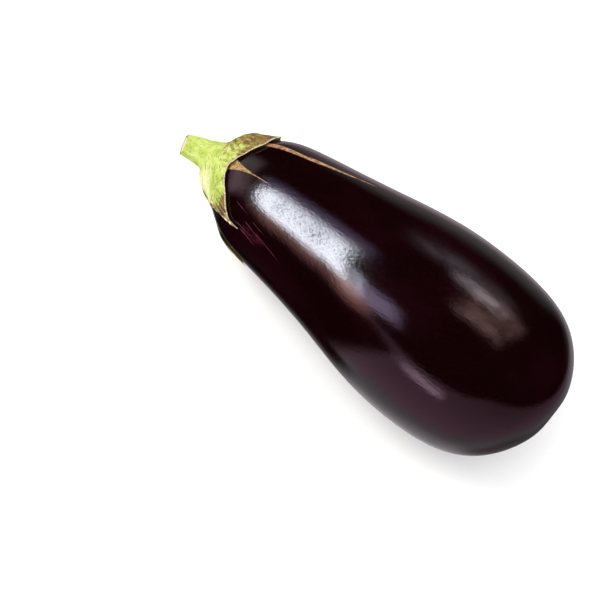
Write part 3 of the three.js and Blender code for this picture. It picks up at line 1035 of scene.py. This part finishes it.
# the long lamp: real distance, so that its reflection moves as it does from a lamp close by; its cloth
# glows in patches, each given by its middle, size and soft sides in mm along and across the lamp
stripLamp = {
    "aim": (94.3, -19.8, 42.6),  # mm from the neck pole
    "place": (-67, 30),
    "distance": 0.55,
    "size": (0.82, 0.48),
    "offset": (0.0, 0.11),       # along the lamp and across it
    "turn": -31,
}
lampPatches = [
    {"name": "core", "middle": (-14, -3.5), "size": (286, 43), "soft": (95, 55, 8, 9),
     "colour": "eff4ff", "strength": 31},
    {"name": "warm corner", "middle": (172, 18), "size": (110, 60), "soft": (40, 50, 25, 25),
     "colour": "ffdcd8", "strength": 5},
    {"name": "warm side", "middle": (230, 25), "size": (180, 150), "soft": (50, 60, 35, 60),
     "colour": "ffb3ac", "strength": 2.6},
    {"name": "upper cloth", "middle": (80, 58), "size": (160, 34), "soft": (45, 45, 12, 22),
     "colour": "eae8ff", "strength": 10},
    {"name": "far cloth", "middle": (122, 172), "size": (180, 200), "soft": (60, 55, 50, 75),
     "colour": "ead4ff", "strength": 3.7},
    {"name": "halo", "middle": (-235, -12), "size": (150, 90), "soft": (60, 50, 35, 35),
     "colour": "dccaff", "strength": 1.8},
]

# the round lamp that lights what isn't gloss
keyLamp = {"place": (-70, 50), "distance": 1.5, "size": (0.7, 0.7), "power": 9.5, "colour": "fff8ee"}


def direction(azimuth, elevation):
    a, e = math.radians(azimuth), math.radians(elevation)
    return Vector((math.sin(a) * math.cos(e), -math.cos(a) * math.cos(e), math.sin(e)))


def turnedAxes(centre, turn):
    # sideways and upward directions of something that faces us from a direction
    sideways = Vector((0, 0, 1)).cross(centre).normalized()
    spin = Matrix.Rotation(math.radians(turn), 3, centre)
    return spin @ sideways, spin @ centre.cross(sideways)


def softSides(tree, mask, aside, size, soft):
    # narrows a mask to a band of one size, with soft sides
    low, high = soft
    for start, end in ((-size / 2 - low, -size / 2 + low), (size / 2 + high, size / 2 - high)):
        side = addNode(tree, "MapRange", [aside, start, end], **softRange)
        mask = addNode(tree, "Math", [mask, side], operation="MULTIPLY")
    return mask


def panelMask(tree, way, panel):
    # 1 where the view direction meets the panel
    centre = direction(*panel["place"])
    ahead = addNode(tree, "VectorMath", [way, centre], out="Value", operation="DOT_PRODUCT")
    mask = addNode(tree, "MapRange", [ahead, 0.0, 0.05])      # not on the opposite side
    ahead = addNode(tree, "Math", [ahead, 0.01], operation="MAXIMUM")
    softness = (panel["soft"][:2], panel["soft"][2:])
    for axis, size, soft in zip(turnedAxes(centre, panel["tilt"]), panel["size"], softness):
        aside = addNode(tree, "VectorMath", [way, axis], out="Value", operation="DOT_PRODUCT")
        aside = addNode(tree, "Math", [aside, ahead], operation="DIVIDE")
        aside = addNode(tree, "Math", [aside], operation="ARCTANGENT")
        aside = addNode(tree, "Math", [aside, 180 / pi], operation="MULTIPLY")
        mask = softSides(tree, mask, aside, size, soft)
    return mask


def makeWorld():
    world = bpy.data.worlds.new("studio")
    world.use_nodes = True
    tree = world.node_tree
    tree.nodes.clear()
    levels = studioLevels
    way = addNode(tree, "TexCoord", out="Generated")
    height = addNode(tree, "SeparateXYZ", [way], out=2)
    away, front = [addNode(tree, "VectorMath", [way, direction(*levels[name])], out="Value",
                           operation="DOT_PRODUCT") for name in ("sweepUp", "sweepFront")]
    top = math.radians(levels["sweepTop"])
    edge = levels["sweepEdge"]
    below = addNode(tree, "MapRange", [away, edge, -edge], **softRange)
    short = addNode(tree, "MapRange", [height, math.sin(top + edge), math.sin(top - edge)], **softRange)
    sweep = addNode(tree, "Math", [below, short], operation="MULTIPLY")
    allRound, brightSide = levels["sweep"]
    bright = addNode(tree, "Math", [front, brightSide, allRound], operation="MULTIPLY_ADD")
    sweep = addNode(tree, "Math", [sweep, bright], operation="MULTIPLY")
    for card in darkCards:
        unshaded = addNode(tree, "Math", [panelMask(tree, way, card), -card["strength"], 1],
                           operation="MULTIPLY_ADD")
        sweep = addNode(tree, "Math", [sweep, unshaded], operation="MULTIPLY")
    near = addNode(tree, "MapRange", [height, *levels["nearFrom"]], **softRange)
    colour = addNode(tree, "Mix", {0: near, 6: hexToLinear(levels["sweepColour"]),
                                   7: hexToLinear(levels["nearColour"])}, **colourMix)
    seen = addNode(tree, "Mix", {0: sweep, 6: [levels["overhead"]] * 3 + [1], 7: colour}, **colourMix)
    mottle = addNode(tree, "TexNoise", {"Vector": way, "Scale": levels["mottleScale"], "Detail": 3.0,
                                        "Roughness": 0.6})
    for panel in studioPanels:
        tint = [value * panel["strength"] for value in hexToLinear(panel["colour"])[:3]] + [1]
        mask = panelMask(tree, way, panel)
        if "mottled" in panel:
            gap = addNode(tree, "MapRange", [mottle, *levels["mottleFrom"], 1 - panel["mottled"],
                                             levels["mottleBrightest"]])
            mask = addNode(tree, "Math", [mask, gap], operation="MULTIPLY")
        seen = addNode(tree, "Mix", {0: mask, 6: seen, 7: tint}, **colourMix, blend_type="ADD",
                       clamp_factor=False)
    glossy = addNode(tree, "LightPath", out="Is Glossy Ray")
    plain = addNode(tree, "Background", {"Color": hexToLinear("ffffff"), "Strength": levels["plain"]})
    studio = addNode(tree, "Background", {"Color": seen, "Strength": 1.0})
    both = addNode(tree, "MixShader", [glossy, plain, studio])
    addNode(tree, "OutputWorld", {"Surface": both})
    bpy.context.scene.world = world


def makeLamp(name, place, axes, shape, size, power, colour, inGloss):
    data = bpy.data.lights.new(name, "AREA")
    data.shape = shape
    data.size, data.size_y = size
    data.energy = power
    data.color = hexToLinear(colour)[:3]
    lamp = bpy.data.objects.new(name, data)
    bpy.context.collection.objects.link(lamp)
    lamp.location = place
    lamp.rotation_euler = Matrix(axes).transposed().to_euler()
    lamp.visible_glossy = inGloss
    lamp.visible_diffuse = not inGloss
    lamp.visible_camera = False
    return lamp


def paintLamp(data, strip):
    # the lamp's cloth, in mm along and across it
    data.use_nodes = True
    tree = data.node_tree
    tree.nodes.clear()
    spot = addNode(tree, "NewGeometry", out="Parametric")
    spread = [size / mm for size in strip["size"]]
    corner = [offset / mm - size / 2 for offset, size in zip(strip["offset"], spread)]
    spot = addNode(tree, "VectorMath", [spot, (*spread, 0), (*corner, 0)], operation="MULTIPLY_ADD")
    seen = [0, 0, 0, 1]
    for patch in lampPatches:
        mask = 1.0
        for axis, middle, size in zip(range(2), patch["middle"], patch["size"]):
            aside = addNode(tree, "SeparateXYZ", [spot], out=axis)
            aside = addNode(tree, "Math", [aside, float(middle)], operation="SUBTRACT")
            mask = softSides(tree, mask, aside, size, patch["soft"][axis * 2:axis * 2 + 2])
        tint = [value * patch["strength"] for value in hexToLinear(patch["colour"])[:3]] + [1]
        seen = addNode(tree, "Mix", {0: mask, 6: seen, 7: tint}, **colourMix, blend_type="ADD")
    glow = addNode(tree, "Emission", {"Color": seen, "Strength": 1.0})
    addNode(tree, "OutputLight", {"Surface": glow})


def makeLamps():
    strip = stripLamp
    facing = direction(*strip["place"])
    sideways, upward = turnedAxes(facing, strip["turn"])
    along, across = strip["offset"]
    place = (lay.translation + Vector(strip["aim"]) * mm + facing * strip["distance"]
             + sideways * along + upward * across)
    power = pi * strip["size"][0] * strip["size"][1]        # so that a patch's strength is its radiance
    lamp = makeLamp("stripLamp", place, (sideways, upward, facing), "RECTANGLE", strip["size"], power,
                    "ffffff", True)
    paintLamp(lamp.data, strip)
    key = keyLamp
    facing = direction(*key["place"])
    makeLamp("keyLamp", facing * key["distance"], (*turnedAxes(facing, 0), facing), "ELLIPSE",
             key["size"], key["power"], key["colour"], False)


makeFloor()
makeWorld()
makeLamps()
bpy.context.scene.view_settings.view_transform = "Standard"
print("floor, world and light made")
